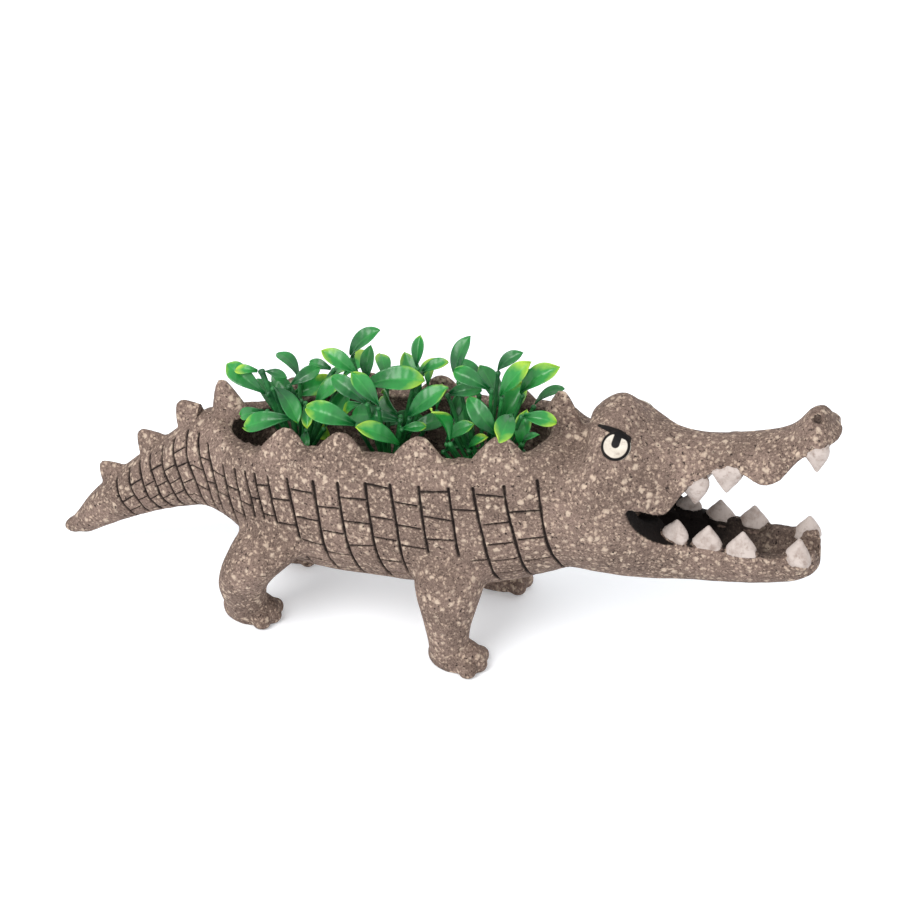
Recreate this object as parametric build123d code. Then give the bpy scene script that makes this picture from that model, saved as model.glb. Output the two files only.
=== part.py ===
"""Crocodile planter: a hand-built stoneware animal with a trough in its back for plastic foliage.

Millimetres. +X runs to the snout, +Y to the animal's left, +Z up. The origin is on the ground
under the middle of the animal's length.
"""

import os
from math import atan2, cos, degrees, radians, sin, sqrt

from build123d import *

# Lengths along the spine
tail_length = 62.0
body_length = 145.0
head_length = 93.0

# Body
body_width = 62.0
body_depth = 62.0
belly_clearance = 20.0
wall = 6.0
scale_cut_depth = 1.0
scale_cut_width = 1.3
scale_cut_drift = 5.0
rim_band = 8.5

# Tail and head
tail_tip_height = 10.0
head_width = 49.0
head_depth = 76.5
snout_radius = 12.0
mouth_floor_depth = 9.0
mouth_wall = 3.5
overbite = 4.0

# Legs
front_leg_radius = 7.6
rear_leg_radius = 7.8
shoulder_radius = 13.0
hip_radius = 14.0
front_stance = 56.0
rear_stance = 44.0
foot_length = 23.0
foot_width = 15.0
foot_height = 11.0
toe_radius = 3.6

# Scutes, teeth and eyes
tail_scute_length = 19.0
tail_scute_width = 8.0
tail_scute_height = 8.5
rump_scute_height = 14.4
nape_scute_height = 12.5
rim_scute_length = 22.0
rim_scute_height = 8.5
tooth_width = 10.5
tooth_depth = 6.5
lower_tooth_height = 9.0
upper_tooth_height = 11.0
tooth_root = 2.5
eye_radius = 5.4
eye_rise = 1.2
nostril_radius = 1.5
nostril_spread = 9.0

# Greenery
leaf_length = 21.0
leaf_width = 8.6
leaf_thickness = 0.9
leaf_bend = 42.0
petiole_width = 1.6
twig_radius = 0.8
joint_radius = 1.1
spike_radius = 1.6
foliage_reach = 40.0
crown_height = 56.0
foam_depth = 20.0
foam_gap = 0.4
spike_gap = 0.3

# Places along the body and the head, as shares of their lengths, and turns in degrees
front_foot_share = 0.745
rear_foot_share = 0.171
front_splay = -8
rear_splay = -6
toe_turns = (-38, 0, 38)
toe_sink_share = 0.75
toe_back_share = 0.8
tail_scute_shares = (0.078, 0.358, 0.638)
tail_scute_least_share = 0.55
rump_scute_share = 0.08
rump_scute_lean = -4.1
nape_scute_share = 0.955
nape_scute_lean = -0.5
right_scute_shares = (0.285, 0.435, 0.638, 0.84)
left_scute_shares = (0.20, 0.40, 0.593, 0.79)
rim_scute_swell_share = 1.25
rim_scute_lean = 8
body_cut_shares = (
    0.041, 0.071, 0.113, 0.154, 0.189, 0.220, 0.260, 0.317, 0.386, 0.453,
    0.526, 0.591, 0.664, 0.740, 0.806, 0.882, 0.958,
)
tail_cut_shares = (0.09, 0.179, 0.268, 0.348, 0.429, 0.526)
cut_belly_share = 0.13
tail_crest_share = 0.5
tooth_lean = 6
tooth_inset_share = 0.30
eye_share = 0.185
eye_angle = 48
nostril_share = (0.915, 0.985)
# share along the head, share of its depth, turn with the lip
lower_tooth_shares = ((0.415, 0.268, 16), (0.54, 0.261, 4), (0.675, 0.262, 0), (0.885, 0.265, 30))
upper_tooth_shares = ((0.48, 0.630, 10), (0.60, 0.714, 0), (0.925, 0.895, 35))

# Bunches: share of the body's length where the stem stands, then one row for each leaf:
# its foot ahead of, to the left of and above the crown in shares of the foliage's reach,
# its heading, pitch and roll in degrees, and its size
bunch_shares = {
    "rear": (0.262, (
        (-0.275, -0.075, 0.75, 180, 32, -55, 0.90),
        (-0.34, -0.075, 0.975, 195, 5, -40, 0.45),
        (-0.32, -0.075, 0.985, 0, -5, 40, 0.45),
        (-0.225, -0.225, 0.66, 192, -12, -50, 0.52),
        (0.075, -0.325, 0.69, 195, -10, -40, 0.92),
        (0.11, -0.125, 0.75, 294, -25, 0, 0.52),
        (-0.01, 0.075, 0.64, 180, 40, -60, 0.70),
        (0.16, 0.025, 0.65, 12, 53, 45, 0.80),
        (0.25, 0.25, 0.92, 185, 15, -40, 0.46),
        (0.15, -0.225, 0.525, 285, -20, 0, 0.42),
        (-0.10, 0.275, 0.72, 150, 35, 0, 0.70),
        (0.12, 0.30, 0.70, 40, 35, 0, 0.65),
        (0.26, -0.07, 0.47, 59, 47, 47, 0.79),
        (-0.21, 0.24, 0.54, 33, 18, 46, 0.93),
        (-0.23, 0.12, 0.33, 184, 68, -33, 0.94),
        (-0.21, -0.11, 0.84, 322, -14, 4, 0.87),
        (-0.07, -0.07, 0.86, 21, 35, 56, 0.66),
        (-0.25, 0.24, 0.29, 16, -21, 33, 0.87),
        (0.34, 0.23, 0.87, 66, 19, 33, 0.73),
    )),
    "middle": (0.503, (
        (-0.10, -0.30, 0.95, 180, 36, -50, 0.77),
        (-0.225, -0.15, 1.125, 184, 35, -40, 0.80),
        (-0.325, -0.05, 1.25, -6, 57, 50, 0.80),
        (-0.225, 0.075, 0.96, 90, 80, 0, 0.66),
        (-0.20, -0.10, 1.00, 0, 20, 40, 1.10),
        (0.25, 0.075, 1.175, 90, 75, 0, 0.60),
        (0.275, 0.125, 1.10, 0, 38, 40, 0.55),
        (0.175, -0.20, 0.775, 178, -2, -50, 0.95),
        (0.20, -0.225, 0.70, 0, 20, 45, 0.45),
        (0.275, -0.225, 0.825, 0, 50, 55, 0.95),
        (-0.225, -0.05, 0.80, 172, -33, -40, 0.50),
        (0.40, 0.175, 0.70, 90, 60, 0, 0.50),
        (0.30, 0.225, 0.90, 90, 70, 0, 0.46),
        (-0.125, 0.30, 0.80, 120, 35, 0, 0.70),
        (0.15, 0.35, 0.85, 60, 40, 0, 0.60),
        (0.22, -0.35, 0.58, 212, 38, -34, 0.91),
        (0.13, -0.06, 0.73, 136, 4, -56, 0.81),
        (-0.17, -0.38, 0.76, 191, 20, -50, 0.94),
        (-0.17, 0.29, 0.37, 21, 17, 30, 0.74),
        (0.22, 0.28, 0.77, 156, 60, -42, 0.84),
        (0.04, -0.39, 0.99, 187, 56, -51, 0.79),
        (0.17, -0.02, 0.54, 16, 27, 42, 0.77),
    )),
    "front": (0.759, (
        (-0.275, 0.04, 1.125, 60, 78, 0, 0.85),
        (0.075, -0.10, 1.175, 185, 27, -45, 0.72),
        (0.075, 0.10, 1.25, 0, 51, 50, 0.62),
        (0.175, -0.10, 1.125, 0, 59, 60, 0.90),
        (0.325, 0.025, 1.10, 0, 50, 50, 0.90),
        (0.40, -0.25, 1.05, -5, 5, 45, 0.62),
        (0.175, -0.20, 0.775, 180, 51, -65, 0.85),
        (-0.30, -0.225, 0.625, -5, 49, 45, 0.70),
        (0.40, -0.175, 0.65, 90, 83, 0, 0.75),
        (0.425, -0.30, 0.80, -10, 45, 40, 0.40),
        (-0.35, -0.05, 1.025, 0, 23, 45, 0.62),
        (-0.10, -0.20, 0.575, -5, 50, 30, 0.50),
        (-0.15, 0.25, 0.90, 140, 40, 0, 0.75),
        (0.20, 0.275, 0.92, 50, 40, 0, 0.70),
        (0.38, 0.20, 0.90, 30, 35, 0, 0.62),
        (0.07, 0.20, 0.78, 143, 50, -11, 0.92),
        (-0.19, -0.46, 0.78, 234, 67, 35, 0.91),
        (0.11, 0.06, 0.71, 41, 62, 42, 0.93),
        (-0.39, -0.05, 0.43, 65, -15, 26, 0.94),
        (-0.14, 0.10, 0.37, 137, 54, -35, 0.92),
        (0.32, -0.32, 1.08, 276, 6, -14, 0.85),
        (-0.33, -0.03, 0.69, 78, 57, 35, 0.61),
    )),
}

leaf_crest_share = 0.45
leaf_edge_shares = ((0.28, 0.52), (0.62, 1.0), (0.90, 0.62))
foam_length_share = 0.78
spike_share = 0.8

overrun = 60.0

rear_x = -(tail_length + body_length + head_length) / 2
rump_x = rear_x + tail_length
neck_x = rump_x + body_length
snout_x = neck_x + head_length


def along(table, share):
    """Values of a station table at a share of its length, in straight steps between stations."""
    for low, high in zip(table, table[1:]):
        if share <= high[0]:
            step = (share - low[0]) / (high[0] - low[0])
            return [a + step * (b - a) for a, b in zip(low[1:], high[1:])]
    return list(table[-1][1:])


def oval(x, half_width, bottom, low, high, top):
    """Upright section at x: a half ellipse below, straight sides, a half ellipse above."""
    with BuildSketch(Plane.YZ.offset(x)) as section_face:
        with BuildLine():
            EllipticalCenterArc((0, low), half_width, low - bottom, 180, arc_size=180)
            Line((half_width, low), (half_width, high))
            EllipticalCenterArc((0, high), half_width, top - high, 0, arc_size=180)
            Line((-half_width, high), (-half_width, low))
        make_face()
    return section_face.sketch


def ellipsoid(centre, long, wide, high):
    return Pos(*centre) * scale(Rot(0, 90, 0) * Sphere(high), by=(long / high, wide / high, 1))


def body_z(share):
    """Height of a share of the body's depth above its belly."""
    return belly_clearance + share * body_depth


# Body sections: share along, half-width share, then bottom, low, high and top shares of depth
body_shares = (
    (0.00, 0.47, 0.218, 0.484, 0.581, 0.847),
    (0.09, 0.63, 0.177, 0.484, 0.613, 0.935),
    (0.21, 0.86, 0.055, 0.476, 0.645, 1.097),
    (0.33, 0.98, 0.000, 0.476, 0.661, 1.194),
    (0.54, 1.00, 0.000, 0.492, 0.694, 1.290),
    (0.71, 0.97, 0.032, 0.524, 0.742, 1.339),
    (0.87, 0.89, 0.129, 0.597, 0.790, 1.323),
    (1.00, 0.79, 0.266, 0.710, 0.823, 1.170),
)


def body_section(row, inset):
    share, width_share, bottom, low, high, top = row
    return oval(rump_x + share * body_length, width_share * body_width / 2 - inset,
                body_z(bottom) + inset, body_z(low), body_z(high), body_z(top) - inset)


body_form = loft(sections=[body_section(row, 0) for row in body_shares])

# Rim of the trough, seen from the side: share along, share of depth
rim_shares = (
    (0.02, 0.92), (0.10, 0.825), (0.28, 0.900), (0.54, 0.985),
    (0.74, 1.030), (0.90, 1.095), (0.965, 1.145), (1.01, 1.22),
)
rim_points = [(rump_x + a * body_length, body_z(b)) for a, b in rim_shares]
with BuildSketch(Plane.XZ) as above_face:
    with BuildLine():
        Spline(*rim_points)
        Polyline(rim_points[-1], (rim_points[-1][0], rim_points[-1][1] + overrun),
                 (rim_points[0][0], rim_points[-1][1] + overrun), rim_points[0])
    make_face()
above_rim = extrude(above_face.sketch, amount=body_width, both=True)
below_band = Pos(0, 0, -rim_band) * above_rim

# Trough: the body's own form taken in by the wall, rounded at both ends in plan
trough_start_share = 0.085
trough_end_share = 0.93
trough_fullness_share = 0.62
trough_length = (trough_end_share - trough_start_share) * body_length
trough_mid_x = rump_x + (trough_start_share + trough_end_share) / 2 * body_length


def trough_space(inset):
    inner = loft(sections=[body_section(row, inset) for row in body_shares])
    half = trough_length / 2 - inset + wall
    plan = Pos(trough_mid_x, 0) * Ellipse(half, trough_fullness_share * body_width)
    return inner & extrude(plan, amount=body_z(1) + overrun)


body_trough = body_form - trough_space(wall) - above_rim

# Tail: the body's last section, drawn down to a blunt tip
tail_root = [body_z(s) for s in body_shares[0][2:]]
tail_root_half = body_shares[0][1] * body_width / 2
tail_sink = (tail_root[1] + tail_root[2]) / 2 - tail_tip_height
# share along from the body, share of the sink, share of the root's size
tail_shares = (
    (0.00, 0.000, 1.000),
    (0.30, 0.255, 0.775),
    (0.60, 0.560, 0.570),
    (0.80, 0.790, 0.420),
    (0.94, 0.975, 0.250),
)
# the rounded tip stands this much proud of the last section, so the two join along a clean line
tail_cap_share = 1.05


def tail_heights(sink_share, size_share):
    middle = (tail_root[1] + tail_root[2]) / 2 - sink_share * tail_sink
    half = size_share * (tail_root[3] - tail_root[0]) / 2
    flat = size_share * (tail_root[2] - tail_root[1]) / 2
    return middle - half, middle - flat, middle + flat, middle + half


tail_end_share, tail_end_sink, tail_end_size = tail_shares[-1]
tail_end_low, _, _, tail_end_high = tail_heights(tail_end_sink, tail_end_size)


def tail_loft(inset):
    sections = []
    for share, sink, size in tail_shares:
        bottom, low, high, top = tail_heights(sink, size)
        half = size * tail_root_half
        sections.append(oval(rump_x - share * tail_length, half - inset, bottom + inset, low, high, top - inset))
    return loft(sections=sections)


tail = tail_loft(0) + ellipsoid(
    (rump_x - tail_end_share * tail_length, 0, (tail_end_low + tail_end_high) / 2),
    (1 - tail_end_share) * tail_length, tail_cap_share * tail_end_size * tail_root_half,
    tail_cap_share * (tail_end_high - tail_end_low) / 2)

# Head: one form with upright sections, the mouth cut through it from the side
neck = [body_z(s) for s in body_shares[-1][2:]]
head_z0 = neck[0]


def head_z(share):
    return head_z0 + share * head_depth


# share along, half-width share, then bottom, low, high and top shares of the head's depth
head_shares = (
    (0.09, 1.02, 0.000, 0.370, 0.460, 0.820),
    (0.17, 1.00, 0.000, 0.370, 0.470, 0.890),
    (0.25, 0.92, 0.000, 0.370, 0.490, 0.868),
    (0.34, 0.76, 0.002, 0.340, 0.520, 0.800),
    (0.44, 0.60, 0.010, 0.310, 0.580, 0.775),
    (0.57, 0.53, 0.027, 0.285, 0.650, 0.790),
    (0.70, 0.51, 0.052, 0.280, 0.680, 0.840),
    (0.83, 0.49, 0.090, 0.290, 0.740, 0.920),
    (0.915, 0.49, 0.140, 0.300, 0.840, 1.000),
    (0.96, 0.47, 0.190, 0.305, 0.850, 0.965),
    (1.00, 0.42, 0.240, 0.310, 0.850, 0.920),
)


def head_section(row):
    share, width_share, *heights = row
    return oval(neck_x + share * head_length, width_share * head_width / 2, *[head_z(h) for h in heights])


neck_section = oval(neck_x, body_shares[-1][1] * body_width / 2, *neck)
head_form = loft(sections=[neck_section] + [head_section(row) for row in head_shares])
with BuildSketch() as head_plan:
    with BuildLine():
        Line((neck_x - overrun, head_width), (snout_x - snout_radius, head_width))
        Line((snout_x - snout_radius, head_width), (snout_x - snout_radius, snout_radius))
        CenterArc((snout_x - snout_radius, 0), snout_radius, 90, arc_size=-180)
        Line((snout_x - snout_radius, -snout_radius), (snout_x - snout_radius, -head_width))
        Polyline((snout_x - snout_radius, -head_width), (neck_x - overrun, -head_width),
                 (neck_x - overrun, head_width))
    make_face()
head_plan_prism = extrude(head_plan.sketch, amount=head_z(1) + overrun)
head_form = head_form & head_plan_prism

# Mouth, seen from the side: share along, share of the head's depth
corner_share = (0.245, 0.50)
lower_lip_shares = ((0.285, 0.385), (0.36, 0.310), (0.54, 0.282), (0.70, 0.275), (0.86, 0.292), (1.08, 0.310))
upper_lip_shares = (
    (1.08, 0.885), (0.93, 0.872), (0.86, 0.805), (0.80, 0.700), (0.735, 0.665), (0.675, 0.695),
    (0.60, 0.705), (0.49, 0.630), (0.425, 0.530), (0.375, 0.458), (0.31, 0.478),
)


def head_point(share):
    return (neck_x + share[0] * head_length, head_z(share[1]))


corner = head_point(corner_share)
lower_lip = [corner] + [head_point(s) for s in lower_lip_shares]
upper_lip = [head_point(s) for s in upper_lip_shares] + [corner]
with BuildSketch(Plane.XZ) as mouth_face:
    with BuildLine():
        Spline(*lower_lip)
        Line(lower_lip[-1], upper_lip[0])
        Spline(*upper_lip)
    make_face()
mouth = extrude(mouth_face.sketch, amount=head_width, both=True)

# Jaws: parted behind the mouth corner by a level seam, in front of it by the mouth itself
seam_shares = ((-0.2, corner_share[1]), corner_share, (0.30, 0.43), (0.375, 0.39), (0.50, 0.45), (1.10, 0.60))
seam = [head_point(s) for s in seam_shares]
with BuildSketch(Plane.XZ) as below_face:
    with BuildLine():
        Polyline(*seam, (seam[-1][0], head_z0 - overrun), (seam[0][0], head_z0 - overrun), seam[0])
    make_face()
below_seam = extrude(below_face.sketch, amount=head_width, both=True)

floor_share = (0.64, 0.285)
floor_reach_share = 0.33
floor_half_share = 0.50
throat_share = (0.27, 0.43)
throat_reach_share = 0.16
throat_half_share = 0.55


def middle_point(share):
    x, z = head_point(share)
    return x, 0, z


mouth_floor = ellipsoid(middle_point(floor_share), floor_reach_share * head_length,
                        floor_half_share * head_width / 2 - mouth_wall, mouth_floor_depth)
throat = ellipsoid(middle_point(throat_share), throat_reach_share * head_length,
                   throat_half_share * head_width / 2, mouth_floor_depth)
nostril_x, nostril_z = head_point(nostril_share)
nostrils = [Pos(nostril_x, side * nostril_spread / 2, nostril_z) * Sphere(nostril_radius) for side in (-1, 1)]
head_open = head_form - mouth - throat
upper_head = head_open - below_seam - nostrils
lower_jaw = (head_open & below_seam & Pos(-overbite, 0, 0) * head_plan_prism) - mouth_floor


def mirrored(solid):
    return mirror(solid, about=Plane.XZ)


# Legs: a limb bent down from the body's side, a foot and three toes, trimmed to body and ground
def limb(stops):
    return loft(sections=[Pos(x, y, z) * Circle(radius) for x, y, z, radius in stops])


def spindle(length, radius):
    """Ellipsoid of revolution along X."""
    with BuildSketch() as half_face:
        with BuildLine():
            EllipticalCenterArc((0, 0), length / 2, radius, 0, arc_size=180)
            Line((-length / 2, 0), (length / 2, 0))
        make_face()
    return revolve(half_face.sketch, axis=Axis.X)


def leg(stops, foot_x, foot_y, splay):
    half = foot_width / 2
    place = Pos(foot_x, foot_y, 0) * Rot(0, 0, splay)
    shape = limb(stops) + place * Pos(0, 0, foot_height - half) * spindle(foot_length, half)
    for turn in toe_turns:
        toe = Pos(foot_length / 2 - toe_radius * toe_back_share, 0, toe_radius * toe_sink_share)
        shape = shape + place * Rot(0, 0, turn) * toe * Sphere(toe_radius)
    ground = Pos(foot_x, foot_y, -overrun / 2) * Box(overrun + overrun, overrun + overrun, overrun)
    return shape - ground - body_form


front_foot_y = -front_stance / 2
rear_foot_y = -rear_stance / 2
front_foot_x = rump_x + front_foot_share * body_length
rear_foot_x = rump_x + rear_foot_share * body_length
# share of the foot's length ahead of the foot, share of the stance, share of the belly's height, radius
front_limb_shares = (
    (-0.22, 0.57, 2.35, shoulder_radius),
    (-0.17, 0.90, 1.55, 0.95 * shoulder_radius),
    (-0.15, 1.02, 0.85, 1.12 * front_leg_radius),
    (-0.12, 1.00, 0.20, front_leg_radius),
)
rear_limb_shares = (
    (0.595, 0.58, 2.45, hip_radius),
    (0.375, 1.11, 1.70, 0.98 * hip_radius),
    (0.03, 1.34, 1.05, 1.22 * rear_leg_radius),
    (-0.04, 1.17, 0.55, 1.05 * rear_leg_radius),
    (-0.02, 1.02, 0.15, rear_leg_radius),
)
front_stops = [(front_foot_x + ahead * foot_length, out * front_foot_y, up * belly_clearance, radius)
               for ahead, out, up, radius in front_limb_shares]
rear_stops = [(rear_foot_x + ahead * foot_length, out * rear_foot_y, up * belly_clearance, radius)
              for ahead, out, up, radius in rear_limb_shares]
front_right_leg = leg(front_stops, front_foot_x, front_foot_y, front_splay)
rear_right_leg = leg(rear_stops, rear_foot_x, rear_foot_y, rear_splay)


# Scale cuts: thin plates across body and tail, leaning forward as they go down, kept to a thin skin
def cut_plate(x, z, half_width):
    turn = -degrees(atan2(scale_cut_drift, half_width))
    return Pos(x, 0, z) * Rot(0, turn, 0) * Box(scale_cut_width, body_width + overrun, body_depth + overrun)


def body_plate(share):
    width_share, _, low, high, _ = along(body_shares, share)
    return cut_plate(rump_x + share * body_length, body_z((low + high) / 2), width_share * body_width / 2)


def tail_plate(share):
    sink, size = along(tail_shares, share)
    heights = tail_heights(sink, size)
    return cut_plate(rump_x - share * tail_length, (heights[1] + heights[2]) / 2, size * tail_root_half)


belly_block = Pos(0, 0, body_z(cut_belly_share) - overrun) * Box(
    body_length + body_length, body_width + overrun, overrun + overrun)
body_core = loft(sections=[body_section(row, scale_cut_depth) for row in body_shares])
right_limbs = [limb(front_stops), limb(rear_stops)]
body_cuts = Part() + [body_plate(share) for share in body_cut_shares]
body_cuts = body_cuts - body_core - below_band - belly_block - right_limbs - [mirrored(l) for l in right_limbs]
tail_crest = [tail_crest_share * tail_root_half * size for size in (tail_shares[0][2], tail_shares[-1][2])]
tail_end_x = rump_x - tail_end_share * tail_length
with BuildSketch() as crest_face:
    Polygon((rump_x, tail_crest[0]), (tail_end_x, tail_crest[1]), (tail_end_x, -tail_crest[1]),
            (rump_x, -tail_crest[0]), align=None)
tail_cuts = Part() + [tail_plate(share) for share in tail_cut_shares]
tail_cuts = tail_cuts - tail_loft(scale_cut_depth) - extrude(crest_face.sketch, amount=body_z(1))


# Scutes: blunt fins, trimmed to what they stand on. Share of the height, share of the base
fin_shares = ((-1.0, 1.0), (0.0, 0.90), (0.45, 0.62), (0.80, 0.36), (1.0, 0.14))


def fin(length, width, height, lean):
    return loft(sections=[
        Pos(max(up, 0) * lean, 0, up * height) * Ellipse(size * length / 2, size * width / 2)
        for up, size in fin_shares])


def largest(shape):
    return max(shape.solids(), key=lambda solid: solid.volume)


def tail_scute(share):
    sink, size = along(tail_shares, share)
    top = tail_heights(sink, size)[3]
    grow = tail_scute_least_share + (1 - tail_scute_least_share) * size
    blank = fin(tail_scute_length * grow, tail_scute_width * grow, tail_scute_height * grow, 0)
    next_top = tail_heights(*along(tail_shares, share + tail_scute_length / tail_length))[3]
    turned = Rot(0, -degrees(atan2(top - next_top, tail_scute_length)), 0) * blank
    return largest(Pos(rump_x - share * tail_length, 0, top) * turned - tail - body_form)


def rim_place(share):
    """Half-width of the body's outside, and height, where the rim crosses a share of its length."""
    width_share, _, _, high, top = along(body_shares, share)
    level = along(rim_shares, share)[0]
    swell = sqrt(max(1 - ((level - high) / (top - high)) ** 2, 0))
    return width_share * body_width / 2 * swell, body_z(level)


def rim_scute(share, side):
    out, level = rim_place(share)
    step = rim_scute_length / body_length / 2
    turn = degrees(atan2(rim_place(share + step)[0] - rim_place(share - step)[0], rim_scute_length))
    blank = fin(rim_scute_length, wall * rim_scute_swell_share, rim_scute_height, 0)
    turned = Rot(0, 0, side * turn) * Rot(side * rim_scute_lean, 0, 0) * blank
    placed = Pos(rump_x + share * body_length, side * (out - wall / 2), level) * turned
    return largest(placed & above_rim)


def end_scute(share, height, lean):
    blank = fin(tail_scute_length, tail_scute_width, height, lean)
    top = along(body_shares, share)[-1]
    level = min(body_z(top), rim_place(share)[1])
    placed = Pos(rump_x + share * body_length, 0, level) * blank
    return largest(placed - body_trough - trough_space(wall) - tail - head_form)


# Teeth: flattened cones set in the lips. Share of the height above the lip, share of the base
tooth_shares = ((0.0, 0.96), (0.5, 0.76), (0.85, 0.44), (1.0, 0.19))
tooth_root_share = 0.40


def tooth(up, height):
    stops = [(-tooth_root, tooth_root_share)] + [(rise * height, size) for rise, size in tooth_shares]
    return loft(sections=[
        Pos(0, 0, up * rise) * Ellipse(size * tooth_width / 2, size * tooth_depth / 2)
        for rise, size in stops])


def lip_half(share, height, back):
    """Half-width of a jaw at a lip's height, with the snout's round end set back."""
    width_share, _, _, high, top = along(head_shares, share)
    swell = sqrt(1 - (max(height - high, 0) / (top - high)) ** 2)
    past = neck_x + share * head_length - (snout_x - snout_radius - back)
    return min(width_share * swell * head_width / 2, sqrt(snout_radius ** 2 - max(past, 0) ** 2))


def jaw_tooth(row, blank, lean, jaw, back):
    share, height, yaw = row
    turned = Rot(0, 0, -yaw) * Rot(lean, 0, 0) * blank
    y = -(lip_half(share, height, back) - tooth_depth * tooth_inset_share)
    return largest(Pos(neck_x + share * head_length, y, head_z(height)) * turned - jaw)


right_lower = [jaw_tooth(row, tooth(1, lower_tooth_height), -tooth_lean, lower_jaw, overbite)
               for row in lower_tooth_shares]
right_upper = [jaw_tooth(row, tooth(-1, upper_tooth_height), tooth_lean, upper_head, 0)
               for row in upper_tooth_shares]


# Eyes: low domes of white slip high on the skull
eye_half = along(head_shares, eye_share)
eye_up = (head_z(eye_half[4]) - head_z(eye_half[3]))
eye_out = eye_half[0] * head_width / 2
eye_spot = Vector(neck_x + eye_share * head_length, -eye_out * cos(radians(eye_angle)),
                  head_z(eye_half[3]) + eye_up * sin(radians(eye_angle)))
eye_normal = Vector(0, -cos(radians(eye_angle)) / eye_out, sin(radians(eye_angle)) / eye_up)
eye_ball = (eye_radius ** 2 + eye_rise ** 2) / (2 * eye_rise)
eye_lens = (Pos(0, 0, eye_rise - eye_ball) * Sphere(eye_ball)) & Cylinder(eye_radius, eye_radius)
right_eye = largest(Plane(eye_spot, z_dir=eye_normal) * eye_lens - upper_head)

# Greenery: a spike in the foam carries a twig for each leaf
leaf_lift = leaf_bend - sqrt(leaf_bend ** 2 - (leaf_crest_share * leaf_length) ** 2)
with BuildSketch() as leaf_face:
    with BuildLine():
        edge_points = [(0, petiole_width / 2)] + [
            (a * leaf_length, b * leaf_width / 2) for a, b in leaf_edge_shares] + [(leaf_length, 0)]
        leaf_edge = Spline(*edge_points, tangents=[(1, 0), (0, -1)])
        mirror(leaf_edge, about=Plane.XZ)
        Line((0, petiole_width / 2), (0, -petiole_width / 2))
    make_face()
with BuildSketch(Plane.XZ) as bend_face:
    with Locations((leaf_crest_share * leaf_length, leaf_lift - leaf_bend)):
        Circle(leaf_bend + leaf_thickness / 2)
        Circle(leaf_bend - leaf_thickness / 2, mode=Mode.SUBTRACT)
leaf_blank = extrude(leaf_face.sketch, amount=leaf_bend / 2, both=True)
leaf_blank = leaf_blank & extrude(bend_face.sketch, amount=leaf_width, both=True)


def rod(start, end, radius):
    reach = end - start
    return Plane(start, z_dir=reach) * Cylinder(
        radius, reach.length, align=(Align.CENTER, Align.CENTER, Align.MIN))


foam_floor = body_z(0) + wall
foam = trough_space(wall + foam_gap) & Pos(trough_mid_x, 0, foam_floor) * Box(
    foam_length_share * trough_length, body_width, foam_depth + foam_depth)
greenery = {}
for bunch, (share, rows) in bunch_shares.items():
    crown = Vector(rump_x + share * body_length, 0, crown_height)
    foot = Vector(crown.X, 0, foam_floor + foam_depth - spike_share * foam_depth)
    stems = rod(foot, crown, spike_radius) + Pos(*crown) * Sphere(spike_radius)
    foam = foam - rod(foot - Vector(0, 0, spike_gap), crown, spike_radius + spike_gap)
    blades = []
    for ahead, left, above, heading, pitch, roll, size in rows:
        base = crown + Vector(ahead, left, above) * foliage_reach
        stems = stems + rod(crown, base, twig_radius) + Pos(*base) * Sphere(joint_radius)
        turn = Rot(0, 0, heading) * Rot(0, -pitch, 0) * Rot(roll, 0, 0)
        blades.append(Pos(*base) * turn * scale(leaf_blank, by=size))
    greenery[bunch + "_stems"] = stems
    greenery[bunch + "_leaves"] = Compound(children=[largest(blade - stems) for blade in blades])

parts = {
    "body_trough": body_trough - body_cuts,
    "tail": tail - tail_cuts,
    "upper_head": upper_head,
    "lower_jaw": lower_jaw,
    "front_right_leg": front_right_leg,
    "front_left_leg": mirrored(front_right_leg),
    "rear_right_leg": rear_right_leg,
    "rear_left_leg": mirrored(rear_right_leg),
    "rump_scute": end_scute(rump_scute_share, rump_scute_height, rump_scute_lean),
    "nape_scute": end_scute(nape_scute_share, nape_scute_height, nape_scute_lean),
    "right_eye": right_eye,
    "left_eye": mirrored(right_eye),
}
parts["foam_block"] = foam
parts.update(greenery)
for i, share in enumerate(tail_scute_shares):
    parts[f"tail_scute_{i + 1}"] = tail_scute(share)
for i, share in enumerate(right_scute_shares):
    parts[f"right_scute_{i + 1}"] = rim_scute(share, -1)
for i, share in enumerate(left_scute_shares):
    parts[f"left_scute_{i + 1}"] = rim_scute(share, 1)
for i, solid in enumerate(right_lower):
    parts[f"lower_right_tooth_{i + 1}"] = solid
    parts[f"lower_left_tooth_{i + 1}"] = mirrored(solid)
for i, solid in enumerate(right_upper):
    parts[f"upper_right_tooth_{i + 1}"] = solid
    parts[f"upper_left_tooth_{i + 1}"] = mirrored(solid)

os.makedirs("parts", exist_ok=True)
for name, shape in parts.items():
    solids = shape.solids()
    export_step(Compound(children=solids), "parts/" + name + ".step")
    print(name, len(solids), round(sum(solid.volume for solid in solids)))
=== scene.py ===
# %% [markdown]
# # A crocodile planter in speckled stoneware
# A potter pinched this animal from coarse clay, cut its scales with a wire and whitened its teeth with slip.
# Plastic foliage stands in the trough of its back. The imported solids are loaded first: they fix every size and
# place, in metres, and each piece below is made from them or on them.

# %% Load the frame
from math import cos, pi, radians, sin

import bmesh
import bpy
import numpy as np
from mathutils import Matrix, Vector, noise
from mathutils.bvhtree import BVHTree


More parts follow.
